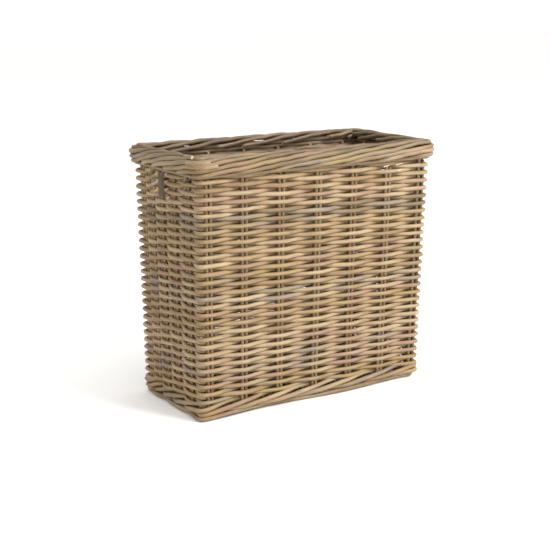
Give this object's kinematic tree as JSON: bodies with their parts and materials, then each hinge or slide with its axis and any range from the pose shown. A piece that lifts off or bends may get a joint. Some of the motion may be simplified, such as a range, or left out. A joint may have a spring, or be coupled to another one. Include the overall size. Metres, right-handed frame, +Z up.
{
  "type": "log basket",
  "caption": "Rectangular open-topped log basket of round rattan, woven over and under paired stakes, with a rolled border and a hand-hole under the border at each end.",
  "frame": {"origin": "centre of the footprint, on the surface that the basket stands on", "axes": "+X along the long side, +Z up; -Y is the front long side, and the hand-holes are in the two ends, at -X and +X"},
  "size_m": [0.5468, 0.2756, 0.49],
  "materials": {
    "weaver_cane": "dry natural rattan",
    "stake_cane": "dry natural rattan",
    "border_cane": "dry weathered rattan",
    "foot_cane": "dry natural rattan",
    "base_cane": "dry weathered rattan"
  },
  "bodies": {
    "root": {"base_stick_1": "base_cane", "base_stick_2": "base_cane", "base_stick_3": "base_cane", "base_stick_4": "base_cane", "base_stick_5": "base_cane", "base_weave": "base_cane", "border_back": "border_cane", "border_front": "border_cane", "border_left": "border_cane", "border_right": "border_cane", "foot_wale_back": "foot_cane", "foot_wale_front": "foot_cane", "foot_wale_left": "foot_cane", "foot_wale_right": "foot_cane", "stake_pair_back_1": "stake_cane", "stake_pair_back_2": "stake_cane", "stake_pair_back_3": "stake_cane", "stake_pair_back_4": "stake_cane", "stake_pair_back_5": "stake_cane", "stake_pair_back_6": "stake_cane", "stake_pair_front_1": "stake_cane", "stake_pair_front_2": "stake_cane", "stake_pair_front_3": "stake_cane", "stake_pair_front_4": "stake_cane", "stake_pair_front_5": "stake_cane", "stake_pair_front_6": "stake_cane", "stake_pair_front_7": "stake_cane", "stake_pair_left_1": "stake_cane", "stake_pair_left_2": "stake_cane", "stake_pair_left_3": "stake_cane", "stake_pair_left_4": "stake_cane", "stake_pair_left_5": "stake_cane", "stake_pair_right_1": "stake_cane", "stake_pair_right_2": "stake_cane", "stake_pair_right_3": "stake_cane", "stake_pair_right_4": "stake_cane", "weave_back": "weaver_cane", "weave_front": "weaver_cane", "weave_left_below_hole": "weaver_cane", "weave_left_hole_back": "weaver_cane", "weave_left_hole_front": "weaver_cane", "weave_right_below_hole": "weaver_cane", "weave_right_hole_back": "weaver_cane", "weave_right_hole_front": "weaver_cane"}
  },
  "joints": []
}
